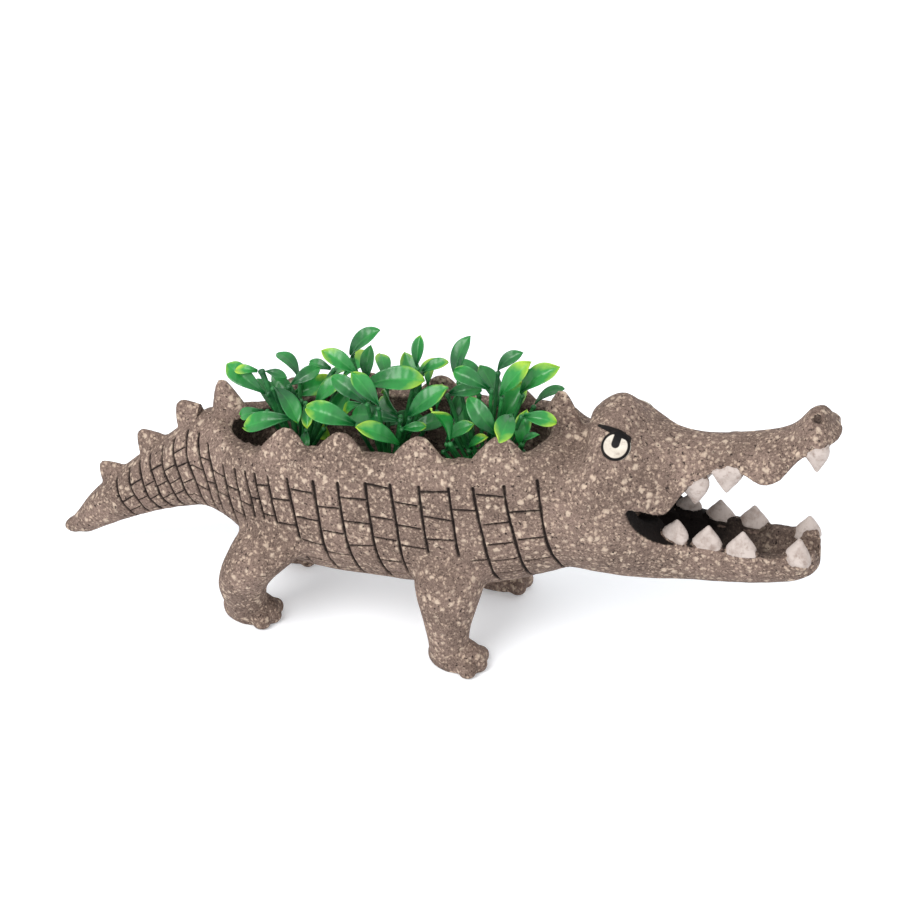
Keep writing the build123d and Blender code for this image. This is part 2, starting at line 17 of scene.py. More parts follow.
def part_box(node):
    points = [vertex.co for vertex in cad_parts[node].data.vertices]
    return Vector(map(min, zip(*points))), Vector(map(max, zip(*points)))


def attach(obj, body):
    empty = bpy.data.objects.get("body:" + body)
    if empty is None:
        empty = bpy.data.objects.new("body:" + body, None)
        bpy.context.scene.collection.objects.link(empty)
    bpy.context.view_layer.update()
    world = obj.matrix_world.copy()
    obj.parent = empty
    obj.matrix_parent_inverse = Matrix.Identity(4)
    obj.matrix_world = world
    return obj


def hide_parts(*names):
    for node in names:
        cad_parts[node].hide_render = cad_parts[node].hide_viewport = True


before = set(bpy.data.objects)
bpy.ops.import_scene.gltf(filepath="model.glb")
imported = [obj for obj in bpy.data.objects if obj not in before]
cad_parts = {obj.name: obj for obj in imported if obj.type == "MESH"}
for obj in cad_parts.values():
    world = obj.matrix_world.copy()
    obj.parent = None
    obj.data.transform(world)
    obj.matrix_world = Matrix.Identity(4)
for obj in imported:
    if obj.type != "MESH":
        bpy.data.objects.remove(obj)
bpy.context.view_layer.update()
mm = 0.001
rng = np.random.default_rng(11)

# %% [markdown]
# ## Where the photographer stood
# The camera is fixed first, because every later choice is judged through it. It looks down at the animal's right
# side from a little ahead, through a long lens, so parallel lines stay nearly parallel.

# %% Camera
photo_side = 920
focal_pixels = 2748.6
aim = Vector((12.04, 0, 69.74)) * mm
turn, rise, distance = radians(18), radians(31), 1.0
back = Vector((sin(turn) * cos(rise), -cos(turn) * cos(rise), sin(rise)))
camera = bpy.data.objects.new("camera", bpy.data.cameras.new("camera"))
camera.data.sensor_width = 36
camera.data.lens = camera.data.sensor_width * focal_pixels / photo_side
camera.location = aim + distance * back
camera.rotation_euler = back.to_track_quat("Z", "Y").to_euler()
bpy.context.scene.collection.objects.link(camera)
bpy.context.scene.camera = camera
print("lens", round(camera.data.lens, 1), "mm")

# %% [markdown]
# ## Clay from the solids
# The real clay was luted together wet and smoothed with a thumb, so its joins don't show. A boolean union would
# leave sharp creases. Voxels do what the thumb does: shells that touch become one skin of even faces, which then
# takes smoothing, carving and paint alike.

# %% Helpers for copies, voxels and pieces
collection = bpy.context.scene.collection
nodes = sorted(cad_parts)


def merged(*names):
    """Copies of the named nodes in one bmesh, their loose triangles merged."""
    bm = bmesh.new()
    for name in names:
        bm.from_mesh(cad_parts[name].data)
    bmesh.ops.remove_doubles(bm, verts=bm.verts, dist=0.001 * mm)
    return bm


def tree_of(*names):
    """What finds the nearest point on the named nodes."""
    bm = merged(*names)
    tree = BVHTree.FromBMesh(bm)
    bm.free()
    return tree


def voxels(bm, size):
    """The same form in even faces: shells that touch become one."""
    mesh = bpy.data.meshes.new("lump")
    bm.to_mesh(mesh)
    bm.free()
    lump = bpy.data.objects.new("lump", mesh)
    collection.objects.link(lump)
    remesh = lump.modifiers.new("voxels", "REMESH")
    remesh.mode = "VOXEL"
    remesh.voxel_size = size
    even = bpy.data.meshes.new_from_object(lump.evaluated_get(bpy.context.evaluated_depsgraph_get()))
    bpy.data.objects.remove(lump)
    skin = bmesh.new()
    skin.from_mesh(even)
    bpy.data.meshes.remove(even)
    bpy.data.meshes.remove(mesh)
    return skin


def smooth(bm, rounds, verts=None, factor=0.5):
    """Moves points towards their neighbours, as a thumb does."""
    for _ in range(rounds):
        bmesh.ops.smooth_vert(bm, verts=verts or bm.verts, factor=factor,
                              use_axis_x=True, use_axis_y=True, use_axis_z=True)


def settle(bm, rounds):
    """Evens the voxel steps out and pushes the form back each time, so that it keeps its size."""
    for _ in range(rounds):
        smooth(bm, 1)
        smooth(bm, 1, factor=-0.52)


def piece(name, bm, body, replaced):
    """A finished piece that rides on a body and stands for its nodes."""
    mesh = bpy.data.meshes.new(name)
    bm.to_mesh(mesh)
    bm.free()
    mesh.shade_smooth()
    obj = bpy.data.objects.new(name, mesh)
    collection.objects.link(obj)
    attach(obj, body)
    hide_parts(*replaced)
    print(name, "faces", len(mesh.polygons))
    return obj


def places(bm):
    """Every point and its normal as arrays, in millimetres and as unit vectors."""
    bm.normal_update()
    spots = np.array([v.co for v in bm.verts]) / mm
    normals = np.array([v.normal for v in bm.verts])
    return spots, normals


# %% [markdown]
# ## Lengths of clay
# One skin for the whole animal would need too many faces in one piece, so it is made in five lengths: tail, rump,
# belly, chest and head. Each skin is smoothed together with its neighbours before it is cut, so it runs on across
# the cut. Tail and head have the finer voxels, for the thin tip and for lips, teeth and nostrils.

# %% The skins before carving
teeth = [n for n in nodes if "tooth" in n]
legs = [n for n in nodes if n.endswith("_leg")]
tail_scutes = [n for n in nodes if n.startswith("tail_scute")]
rim_scutes = [n for n in nodes if n.startswith(("right_scute", "left_scute"))]
end_scutes = ["rump_scute", "nape_scute"]
tail_cut, rump_cut, belly_cut, neck_cut, spare = -90.0, -38.0, -2.0, 57.0, 7.0
trunk_tree = tree_of("body_trough", "tail", "upper_head", "lower_jaw")
leg_tree = tree_of(*legs)
scute_tree = tree_of(*tail_scutes, *rim_scutes, *end_scutes)
fine_clay, plain_clay = (0.75, 10), (0.95, 9)  # voxel size in mm, and rounds of smoothing
leg_blend, scute_blend, scute_pull = 4.5, 1.3, 0.75  # how far the joins are rubbed, in mm; how far scutes go back
dents = (0.30, 16), (0.12, 5)  # depth and width of the hands' dents, in mm
tip_from, tip_draw = -138, 0.42  # where the tail's tip starts, and how far it is drawn in


def trim(bm, x, side, close):
    """Keeps what lies on one side of an upright plane across the animal, and may close the cut."""
    everything = bm.verts[:] + bm.edges[:] + bm.faces[:]
    cut = bmesh.ops.bisect_plane(bm, geom=everything, plane_co=(x * mm, 0, 0), plane_no=(side, 0, 0),
                                 clear_inner=True)
    if close:
        rim = [g for g in cut["geom_cut"] if isinstance(g, bmesh.types.BMEdge)]
        cap = bmesh.ops.holes_fill(bm, edges=rim, sides=0)["faces"]
        bmesh.ops.triangulate(bm, faces=cap)
        for e in rim:
            e.smooth = False
    bm.verts.index_update()
    return bm


def near_joins(bm, tree, reach):
    """Points that lie close to the trunk and to what stands on it at once."""
    return [v for v in bm.verts if tree.find_nearest(v.co, reach * mm)[0]
            and trunk_tree.find_nearest(v.co, reach * mm)[0]]


def ramp(value, start, end):
    """0 up to the start, 1 from the end on, and even between."""
    return min(max((value - start) / (end - start), 0.0), 1.0)


def thumbed(spot):
    """How the thumb moved the wet clay, in mm: skull back, neck and brow down, nape scute, crown and nose up."""
    x, y, z = spot / mm
    back = 3.7 * ramp(z, 93, 99) * ramp(x, 57, 62) * ramp(x, 100, 86) * ramp(abs(y), 15, 11)
    down = 3.4 * ramp(z, 84, 92) * ramp(x, 48, 55) * ramp(x, 67, 60) * ramp(abs(y), 3.5, 8)
    scute = 2.4 * ramp(z, 93, 103) * ramp(x, 40, 46) * ramp(x, 61, 57) * ramp(abs(y), 6, 3.5)
    crown = 1.2 * ramp(z, 98, 103) * ramp(x, 68, 75) * ramp(x, 97, 86) * ramp(y, -2, 4) * ramp(y, 16, 11)
    nose = 1.6 * ramp(z, 103, 110) * ramp(x, 132, 138) * ramp(x, 147, 142)
    down += 2.6 * ramp(z, 94, 100) * ramp(x, 79, 87) * ramp(x, 106, 95)
    return Vector((-back, 0, scute + crown + nose - down))


def skin_of(names, size, rounds):
    """Voxel skin of the named nodes with its joins rubbed smooth and the dents of the hands."""
    bm = voxels(merged(*names), size * mm)
    bmesh.ops.triangulate(bm, faces=bm.faces)
    settle(bm, rounds)
    smooth(bm, 3 * rounds, near_joins(bm, leg_tree, leg_blend))
    smooth(bm, rounds // 3, near_joins(bm, scute_tree, scute_blend))
    bm.normal_update()
    for v in bm.verts:
        place, _, _, gap = scute_tree.find_nearest(v.co, 2 * mm)
        if gap is not None and not trunk_tree.find_nearest(v.co, 1.5 * mm)[0]:
            v.co += (place - v.co) * scute_pull
        dent = sum(deep * noise.noise(v.co / (wide * mm)) for deep, wide in dents)
        v.co += (v.normal * dent + thumbed(v.co)) * mm
        v.co.z = max(v.co.z, 0.0)
    return bm


tail_skin = skin_of(["tail", "body_trough", "rump_scute", *tail_scutes], *fine_clay)
trim(tail_skin, tail_cut + spare, -1, False)
body_skin = skin_of(["tail", "body_trough", "upper_head", "lower_jaw", *legs, *rim_scutes, *end_scutes],
                    *plain_clay)
tip = [v for v in tail_skin.verts if v.co.x < tip_from * mm]
lean, level_at = np.polyfit([v.co.x for v in tip], [v.co.z for v in tip], 1)
for v in tip:
    drawn = 1 - tip_draw * ramp(v.co.x / mm, tip_from - 1, tip_from - 11)
    axis = lean * v.co.x + level_at
    v.co.y *= drawn
    v.co.z = axis + (v.co.z - axis) * drawn
smooth(tail_skin, 6, tip)
head_skin = skin_of(["upper_head", "lower_jaw", "body_trough", "nape_scute", *teeth], *fine_clay)
trim(head_skin, neck_cut, 1, True)
body_skins = []
for low, high in ((tail_cut, rump_cut), (rump_cut, belly_cut), (belly_cut, neck_cut)):
    body_skins.append(trim(trim(body_skin.copy(), low - spare, 1, False), high + spare, -1, False))
body_skin.free()
print("points", [len(s.verts) for s in (tail_skin, *body_skins, head_skin)])

# %% [markdown]
# ## Scales cut with a wire
# The flanks carry rings about 10 mm apart, closer on the tail, that lean forward as they go down, with short cross
# cuts staggered between them like bricks. The solids have the rings, plain and square. Here they are levelled and
# cut again as grooves with soft lips, with the cross cuts between them. Each point gets its distance to the nearest
# cut, and the skin is divided finely only where a cut runs.

# %% The plan of the cuts
# rings from the neck back, as planes: place and height at the middle of the flank, and slope, in mm
ring_planes = (
    (50.91, 66.06, 0.196), (39.89, 63.41, 0.183), (28.87, 61.5, 0.175), (19.3, 59.95, 0.169), (8.28, 58.57, 0.165),
    (-2.31, 57.51, 0.163), (-11.73, 56.66, 0.162), (-22.31, 56.14, 0.163), (-32.03, 55.65, 0.164),
    (-42.03, 55.19, 0.167), (-50.3, 54.96, 0.177), (-56.1, 54.79, 0.185), (-60.59, 54.62, 0.197),
    (-65.67, 54.4, 0.214), (-71.61, 54.15, 0.239), (-77.7, 53.8, 0.271), (-82.06, 53.47, 0.297),
    (-87.9, 52.9, 0.335), (-93.58, 49.72, 0.368), (-99.1, 46.47, 0.396), (-104.62, 43.22, 0.43),
    (-109.58, 39.95, 0.462), (-114.6, 36.4, 0.5), (-120.61, 32.16, 0.553))
# the trunk's sections: place, height of the middle, mean radius; then the rim, and the tail's bare crest
spine = np.array([(-150, 10, 3), (-126, 24, 9), (-107, 38, 13.5), (-88, 53, 17.5),
                  (-60, 50, 26), (-20, 50, 31), (20, 53, 31), (57, 61, 25)], float)
rim_line = np.array([(-85.1, 77.0), (-73.5, 71.2), (-47.4, 75.8), (-9.7, 81.1), (19.3, 83.9), (42.5, 87.9),
                     (51.9, 91.0), (58.5, 95.6)])
crest_line = np.array([(-146.3, 1.8), (-88.0, 7.3)])
rim_band, belly_level, tail_from = 8.5, 28.0, -88.0
# cross cuts: steps in mm, the turns between which they lie in degrees, and the share that the hand left out
tail_step, body_step = 8.4, 9.6
tail_first, body_first, last_turn = 28, 46, 136
left_out = 0.07
ring_sway = rng.uniform(0, 2 * pi, len(ring_planes))


def cross_plan():
    """Cross cuts of one flank: the ring behind which each lies, its ends and its turns there, all a little off."""
    crosses = []
    for i, (x, _, _) in enumerate(ring_planes[:-1]):
        radius = np.interp(x, spine[:, 0], spine[:, 2])
        tail = x < tail_from + 4
        step = np.degrees((tail_step if tail else body_step) / radius)
        at = (tail_first if tail else body_first) + step * (0.5 if i % 2 else 1.0)
        while at < last_turn:
            if rng.random() > left_out:
                tilt = rng.uniform(-3, 3) * 20 / max(radius, 20)
                first, last = rng.uniform(-0.02, 0.14), rng.uniform(0.86, 1.02)
                crosses.append((i, first, last, at - tilt / 2, at + tilt / 2))
            at += step * rng.uniform(0.82, 1.18)
    return crosses


flanks = {-1: cross_plan(), 1: cross_plan()}
print("rings", len(ring_planes), "cross cuts", [len(f) for f in flanks.values()])


# %% Distance to the cuts
def cut_gaps(spots):
    """Distances in mm from each point to the nearest ring and to the nearest cross cut."""
    x, y, z = spots.T
    arc = np.interp(x, spine[:, 0], spine[:, 2]) * pi / 180
    turn = np.degrees(np.arctan2(np.abs(y), z - np.interp(x, spine[:, 0], spine[:, 1])))
    over = z - np.interp(x, rim_line[:, 0], rim_line[:, 1]) + rim_band
    past = np.where(x > tail_from, np.maximum(over, belly_level - z), np.interp(x, *crest_line.T) - np.abs(y))
    past = np.maximum(past, 0)
    offs = [(x - px + k * (z - pz)) / np.hypot(1, k) + 0.3 * np.sin(turn / 13 + sway)
            for (px, pz, k), sway in zip(ring_planes, ring_sway)]
    ring = np.hypot(np.min(np.abs(offs), axis=0), past)
    cross = np.full(len(x), 9.0)
    for side, crosses in flanks.items():
        for i, first, last, t0, t1 in crosses:
            at = np.nonzero((y * side > 0) & (offs[i] < 1.5) & (offs[i + 1] > -1.5))[0]
            wide = offs[i + 1][at] - offs[i][at]
            share = -offs[i][at] / wide
            on = t0 + (t1 - t0) * np.clip(share, first, last)
            beyond = np.maximum(np.maximum(first - share, share - last), 0) * wide
            gap = np.sqrt(((turn[at] - on) * arc[at]) ** 2 + beyond ** 2 + past[at] ** 2)
            cross[at] = np.minimum(cross[at], gap)
    return ring, cross


def flank_share(bm, spots, normals):
    """1 on the trunk's outside, falling to 0 on legs, scutes, head and trough."""
    middle = np.interp(spots[:, 0], spine[:, 0], spine[:, 1])
    outward = np.stack([np.zeros(len(spots)), spots[:, 1], spots[:, 2] - middle], 1)
    outward /= np.linalg.norm(outward, axis=1, keepdims=True) + 1e-9
    share = np.clip(((normals * outward).sum(1) - 0.15) * 5, 0, 1)
    for i, v in enumerate(bm.verts):
        if share[i] <= 0:
            continue
        for tree, least in ((leg_tree, 1.2), (scute_tree, 1.0)):
            near = tree.find_nearest(v.co, 4 * mm)[3]
            if near is not None:
                share[i] *= min(max((near / mm - least) / 1.5, 0), 1)
    return share


# %% Carving
ring_depth, cross_depth = 1.1, 0.75
ring_half, cross_half = 0.85, 0.62
cross_dark, tail_share = 0.8, 0.8  # how dark the cross cuts are, and how deep the tail's cuts
level_reach, level_rounds = 2.0, 30
refine_reaches = 1.5, 0.9


def level(bm):
    """Smooths the solids' plain rings away, so that the cuts start from an even skin."""
    spots, normals = places(bm)
    near = (cut_gaps(spots)[0] < level_reach) & (flank_share(bm, spots, normals) > 0)
    smooth(bm, level_rounds, [v for v, n in zip(bm.verts, near) if n])


def refine(bm, reach):
    """Divides once the faces that lie within reach of a cut."""
    spots, normals = places(bm)
    near = (np.min(cut_gaps(spots), axis=0) < reach) & (flank_share(bm, spots, normals) > 0)
    edges = [e for e in bm.edges if near[e.verts[0].index] or near[e.verts[1].index]]
    bmesh.ops.subdivide_edges(bm, edges=edges, cuts=1, smooth=0)
    bmesh.ops.triangulate(bm, faces=bm.faces)
    bm.verts.index_update()


def groove(gap, half):
    """Depth share of a cut across its width: 1 in the middle, 0 at its lips."""
    form = np.clip(1 - gap / half, 0, 1)
    return form * form * (3 - 2 * form)


def carve(bm, share_of_depth):
    """Sinks the skin along the cuts and keeps how deep each point went."""
    layer = bm.verts.layers.float.new("cut")
    spots, normals = places(bm)
    share = flank_share(bm, spots, normals)
    worn = np.array([1 + 0.45 * noise.noise(v.co / (4.5 * mm)) for v in bm.verts])
    cuts = zip(cut_gaps(spots), (ring_half, cross_half))
    ring, cross = (groove(gap, half * worn) * share for gap, half in cuts)
    sink = np.maximum(ring * ring_depth, cross * cross_depth) * share_of_depth
    for v, n, dark, deep in zip(bm.verts, normals, np.maximum(ring, cross * cross_dark), sink):
        v[layer] = dark
        v.co -= Vector(n) * (deep * mm)


for skin, share_of_depth in ((tail_skin, tail_share), *((skin, 1.0) for skin in body_skins)):
    level(skin)
    for reach in refine_reaches:
        refine(skin, reach)
    carve(skin, share_of_depth)
trim(tail_skin, tail_cut, -1, True)
for skin, low, high in zip(body_skins, (tail_cut, rump_cut, belly_cut), (rump_cut, belly_cut, neck_cut)):
    trim(trim(skin, low, 1, True), high, -1, True)
print("points after carving", [len(s.verts) for s in (tail_skin, *body_skins)])

# %% [markdown]
# ## Teeth in slip
# The teeth rise out of the lips in the same clay. They were pinched to points and brushed with white slip, which
# runs a little onto the outside of the jaw. So each tooth is drawn in towards its axis, more so near the tip, and
# the faces that the brush met are copied, raised by a hair and closed inside the clay.

# %% Pinched teeth
jaw_tree = tree_of("upper_head", "lower_jaw")
# lips seen from the side, in mm: place and height
lower_lip = np.array([(79.8, 74.8), (83.5, 65.9), (90.5, 60.2), (107.2, 58.1), (122.1, 57.5), (137, 58.8),
                      (157, 60.2)])
upper_lip = np.array([(79.8, 74.8), (85.8, 73.1), (91.9, 71.5), (96.5, 77), (102.6, 84.7), (112.8, 90.4),
                      (119.8, 89.7), (125.4, 87.4), (131.4, 90), (137, 98.1), (143.5, 103.2)])
tooth_widths = (0.15, 0.40, 0.65, 0.85, 1.0), (1.12, 1.20, 1.0, 0.68, 0.45)
tooth_depths = (0.15, 0.50, 0.85, 1.0), (1.0, 0.92, 0.70, 0.55)
# how far the slip runs past the lip, in mm, tooth by tooth from the corner of the mouth
slip_runs = {"lower": (1.4, 1.4, 1.4, 3.2), "upper": (1.8, 3.0, 3.6)}
tooth_reach, tooth_skin, slip_thick = 3, 0.8, 0.12


def pinch(bm, name):
    """Points one tooth and gives back the indices of the points that the brush met."""
    tree, (low, high) = tree_of(name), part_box(name)
    lower, front = name.startswith("lower"), low.x > 133 * mm
    base, tip = (low.z, high.z) if lower else (high.z, low.z)
    cloud = [v.co.copy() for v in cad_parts[name].data.vertices]
    cloud.sort(key=lambda c: abs(c.z - base))
    few = max(1, len(cloud) // 12)
    foot, point = (sum(part, Vector()) / few for part in (cloud[:few], cloud[-few:]))
    outward = Vector((0.5 if front else 0.0, 1 if low.y + high.y > 0 else -1, 0)).normalized()
    along = Vector((-outward.y, outward.x, 0))
    run = slip_runs[name[:5]][int(name[-1]) - 1]
    white, moves = set(), []
    for v in bm.verts:
        if not all(a - tooth_reach * mm < c < b + tooth_reach * mm for a, c, b in zip(low, v.co, high)):
            continue
        near = tree.find_nearest(v.co, tooth_reach * mm)[3]
        if near is None:
            continue
        lip = np.interp(v.co.x / mm, *(lower_lip if lower else upper_lip).T)
        past = lip - v.co.z / mm if lower else v.co.z / mm - lip
        ragged = 0.4 * noise.noise(v.co / (2.0 * mm))
        on_tooth, outside = near < tooth_skin * mm, v.normal.dot(outward) > 0.25
        off_jaw = jaw_tree.find_nearest(v.co, 6 * mm)[3]
        bare = on_tooth and (off_jaw is None or off_jaw / mm > 0.7 + ragged)
        if past < run + ragged and (bare or outside and near / mm < 1.3 + ragged):
            white.add(v.index)
        if on_tooth:
            share = (v.co.z - base) / (tip - base)
            axis = foot + (point - foot) * max(0.0, min(1.0, share))
            off = v.co - axis
            place = axis + along * (off.dot(along) * np.interp(share, *tooth_widths))
            place += outward * (off.dot(outward) * np.interp(share, *tooth_depths))
            moves.append((v, Vector((place.x, place.y, v.co.z))))
    for v, place in moves:
        v.co = place
    return white


def slip_coat(bm, white):
    """A closed white cap for each tooth of the head."""
    coat = bm.copy()
    bare = [f for f in coat.faces if not all(v.index in white for v in f.verts)]
    bmesh.ops.delete(coat, geom=bare, context="FACES")
    smooth(coat, 8, [v for v in coat.verts if v.is_boundary])
    coat.normal_update()
    for v in coat.verts:
        v.co += v.normal * slip_thick * mm
    roots = bmesh.ops.holes_fill(coat, edges=[e for e in coat.edges if e.is_boundary], sides=0)["faces"]
    bmesh.ops.triangulate(coat, faces=roots)
    bmesh.ops.recalc_face_normals(coat, faces=coat.faces)
    return coat


head_skin.verts.index_update()
head_skin.normal_update()
brushed = set().union(*(pinch(head_skin, name) for name in teeth))
tooth_coat = slip_coat(head_skin, brushed)
print("slip faces", len(tooth_coat.faces))

# %% [markdown]
# ## Painted eyes
# Each eye is a low white disc with a black outline, a pupil that hangs from the lid and a slanting brow. The brush
# went over disc and skull alike, so the strokes are kept as a distance on the points of both: the finish then
# draws a crisp edge between the points.

# %% Strokes round an eye
eye_parts = {-1: "right_eye", 1: "left_eye"}
eye_frames = {}
for side, name in eye_parts.items():
    bm = merged(name)
    low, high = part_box(name)
    middle = (low + high) / 2
    normal = sum((f.normal * f.calc_area() for f in bm.faces if f.normal.z > 0.2 and f.normal.y * side > 0),
                 Vector()).normalized()
    ahead = (Vector((1, 0, 0)) - normal * normal.x).normalized()
    upward = normal.cross(ahead) * side
    upward = upward if upward.z > 0 else -upward
    eye_frames[side] = (middle, ahead, upward, normal)
    bm.free()

# strokes in mm ahead of and above the eye's middle, each a chain of places and half-widths
brow = ((-7.4, 6.5, 0.55), (-4.0, 5.8, 1.0), (0.4, 4.8, 1.4), (3.4, 3.7, 1.1), (4.4, 2.2, 0.5))
pupil = ((0.3, 3.6, 1.45), (0.0, 0.6, 1.5))
outline = 4.75
far_brow_drop, far_brow_top = 2.8, 2.6  # the left brow sits lower and ends at a line
far_press, near_press = 0.75, 0.35  # how far each disc is pressed in, in mm


def stroke_gap(a, b, points):
    """Signed distance from each point to a chain of round-ended strokes, negative inside."""
    best = np.full(len(a), 99.0)
    for (x0, y0, r0), (x1, y1, r1) in zip(points, points[1:]):
        dx, dy = x1 - x0, y1 - y0
        t = np.clip(((a - x0) * dx + (b - y0) * dy) / (dx ** 2 + dy ** 2), 0, 1)
        off = np.hypot(a - x0 - t * dx, b - y0 - t * dy)
        best = np.minimum(best, off - r0 - t * (r1 - r0))
    return best


def paint_eyes(bm, on_disc):
    """Keeps on each point how far it lies from the black strokes, in mm."""
    layer = bm.verts.layers.float.new("stroke")
    spots = np.array([v.co for v in bm.verts])
    gap = np.full(len(spots), 5.0)
    for side, (middle, ahead, upward, _) in eye_frames.items():
        rel = (spots - np.array(middle)) / mm
        near = np.linalg.norm(rel, axis=1) < 14
        a, b = rel @ np.array(ahead), rel @ np.array(upward)
        low_brow = far_brow_drop if side > 0 else 0.0
        black = np.minimum(stroke_gap(a, b + low_brow, brow), stroke_gap(a, b, pupil) if on_disc else 99.0)
        ring = np.abs(np.hypot(a, b) - outline) - 0.5
        black = np.minimum(black, ring)
        gap = np.where(near, black if side < 0 else np.maximum(black, b - far_brow_top), gap)
    for v, g in zip(bm.verts, gap):
        v[layer] = g


for middle, *_ in eye_frames.values():
    close = [e for e in head_skin.edges if (e.verts[0].co - middle).length < 11 * mm]
    bmesh.ops.subdivide_edges(head_skin, edges=close, cuts=1, smooth=0)
    bmesh.ops.triangulate(head_skin, faces=head_skin.faces)
paint_eyes(head_skin, False)
eye_skin = voxels(merged(*eye_parts.values()), 0.3 * mm)
smooth(eye_skin, 6)
for v in eye_skin.verts:
    side = 1 if v.co.y > 0 else -1
    v.co -= eye_frames[side][3] * ((far_press if side > 0 else near_press) * mm)
paint_eyes(eye_skin, True)

# %% [markdown]
# ## Painted shade in the hollows
# Shade is painted into the mouth from its corner forward, into the nostrils, which were pressed in with a stick, and
# deep into the trough. Each point keeps how dark its painted shade is, and the finish darkens it.

# %% Mouth, nostrils and trough
nostrils = [Vector((142.1, side * 4.5, 111.9)) * mm for side in (-1, 1)]
nostril_reach, nostril_depth = 2.6, 1.2
trough_middle, trough_reach = np.array((-13, 0, 56)), np.array((74, 27, 35))


def painted_mouth_shade(spots, normals):
    """Painted shade deep in the mouth: 1 from its corner, falling towards the snout."""
    x, z = spots[:, 0], spots[:, 2]
    low, high = np.interp(x, *lower_lip.T), np.interp(x, *upper_lip.T)
    inside = (x > 78.5) & (z > low - 14) & (z < np.where(x < 104, high + 1.6, low + 2.2))
    inside &= (z > low - 1) | (normals[:, 2] > -0.2)
    across = np.clip((0.5 - normals[:, 1] * np.sign(spots[:, 1])) * 5, 0, 1)
    return inside * across * np.interp(x, (106, 116, 128, 142), (1.0, 0.82, 0.5, 0.15))


def shade(bm, dark):
    """Keeps on each point how dark its painted shade is."""
    layer = bm.verts.layers.float.new("painted_shade")
    for v, d in zip(bm.verts, dark):
        v[layer] = d


# painted shade deep in the mouth
spots, normals = places(head_skin)
dark = painted_mouth_shade(spots, normals)
# the nostril pits are pressed in and painted dark as shade
for i, v in enumerate(head_skin.verts):
    gap = min((v.co - n).length for n in nostrils) / mm
    if gap < nostril_reach:
        dark[i] = max(dark[i], min(0.85, 1.0 - gap / 2.3))
        v.co -= v.normal * (nostril_depth * (1 - (gap / nostril_reach) ** 2) * mm)
shade(head_skin, dark)
# painted shade inside the trough, darkest deep down towards its middle
for skin in body_skins:
    spots, _ = places(skin)
    rel = (spots - trough_middle) / trough_reach
    shade(skin, np.clip(4.0 * (1.02 - np.linalg.norm(rel, axis=1)), 0, 1))
clay_tail = piece("clay_tail", tail_skin, "planter", ["tail", *tail_scutes])
trunk = [piece(name, skin, "planter", ["body_trough", *stands]) for name, skin, stands in zip(
    ("clay_rump", "clay_belly", "clay_chest"), body_skins,
    (["rump_scute", *(n for n in legs if "rear" in n)], rim_scutes,
     ["nape_scute", *(n for n in legs if "front" in n)]))]
clay_head = piece("clay_head", head_skin, "planter", ["upper_head", "lower_jaw"])
slip_teeth = piece("slip_teeth", tooth_coat, "planter", teeth)
slip_eyes = piece("slip_eyes", eye_skin, "planter", list(eye_parts.values()))

# %% [markdown]
# ## Plastic leaves
# Each leaf is a moulded blade: narrow at its foot, widest past the middle, creased along the rib and cupped
# upwards. One blade is shaped from a grid and set on every leaf of the frame, turned the way that leaf's own solid
# lies, so that no leaf is placed twice.


# %% Leaf blades
def islands(bm):
    """The separate shells of a bmesh, each as an array of places."""
    left = set(bm.verts)
    while left:
        found, edge = set(), [left.pop()]
        while edge:
            v = edge.pop()
            found.add(v)
            for e in v.link_edges:
                other = e.other_vert(v)
                if other in left:
                    left.discard(other)
                    edge.append(other)
        yield np.array([v.co for v in found])


def leaf_frame(cloud, twigs):
    """Foot, direction, side and face of a leaf, with its length and half-width."""
    middle = cloud.mean(0)
    _, axes = np.linalg.eigh(np.cov((cloud - middle).T))
    face, side, ahead = axes.T
    reach = (cloud - middle) @ ahead
    ends = [cloud[reach <= np.quantile(reach, 0.06)].mean(0), cloud[reach >= np.quantile(reach, 0.94)].mean(0)]
    gaps = [twigs.find_nearest(Vector(e))[3] for e in ends]
    foot, tip = ends if gaps[0] < gaps[1] else ends[::-1]
    ahead = (tip - foot) / np.linalg.norm(tip - foot)
    side = side - ahead * (side @ ahead)
    side /= np.linalg.norm(side)
    face = np.cross(ahead, side)
    crown = cloud[np.abs(reach) < np.quantile(np.abs(reach), 0.3)].mean(0)
    if (crown - (foot + tip) / 2) @ face < 0:
        side, face = -side, -face
    return foot, ahead, side, face, reach.max() - reach.min(), np.abs((cloud - middle) @ side).max()


def leaf_blade(bm, frame_of, tint, layers):
    """One blade set on a leaf's frame: a grid drawn to the outline, cupped and creased."""
    foot, ahead, side, face, length, half = frame_of
    grid = bmesh.ops.create_grid(bm, x_segments=11, y_segments=6, size=1)["verts"]
    cup, twist = rng.uniform(0.18, 0.45), rng.uniform(-0.3, 0.3)
    droop, widest = rng.uniform(0.10, 0.22), rng.uniform(0.58, 0.72)
    for v in grid:
        u, w = (v.co.x + 1) / 2, v.co.y
        width = half * (0.12 + 0.88 * sin(pi / 2 * u / widest) ** 1.3)
        if u > widest:
            width = half * max(0.10, (1 - ((u - widest) / (1 - widest)) ** 2.2) ** 0.62)
        lift = length * droop * (4 * u * (1 - u)) + half * (cup * w * w - 0.10 * max(0, 1 - abs(w) * 3))
        lift += half * twist * w * u
        place = foot + ahead * (u * length) + side * (w * width) + face * (lift - length * droop * 0.6 * u)
        v[layers["reach"]] = u
        v[layers["edge"]] = abs(w)
        v[layers["tint"]] = tint
        v.co = Vector(place)


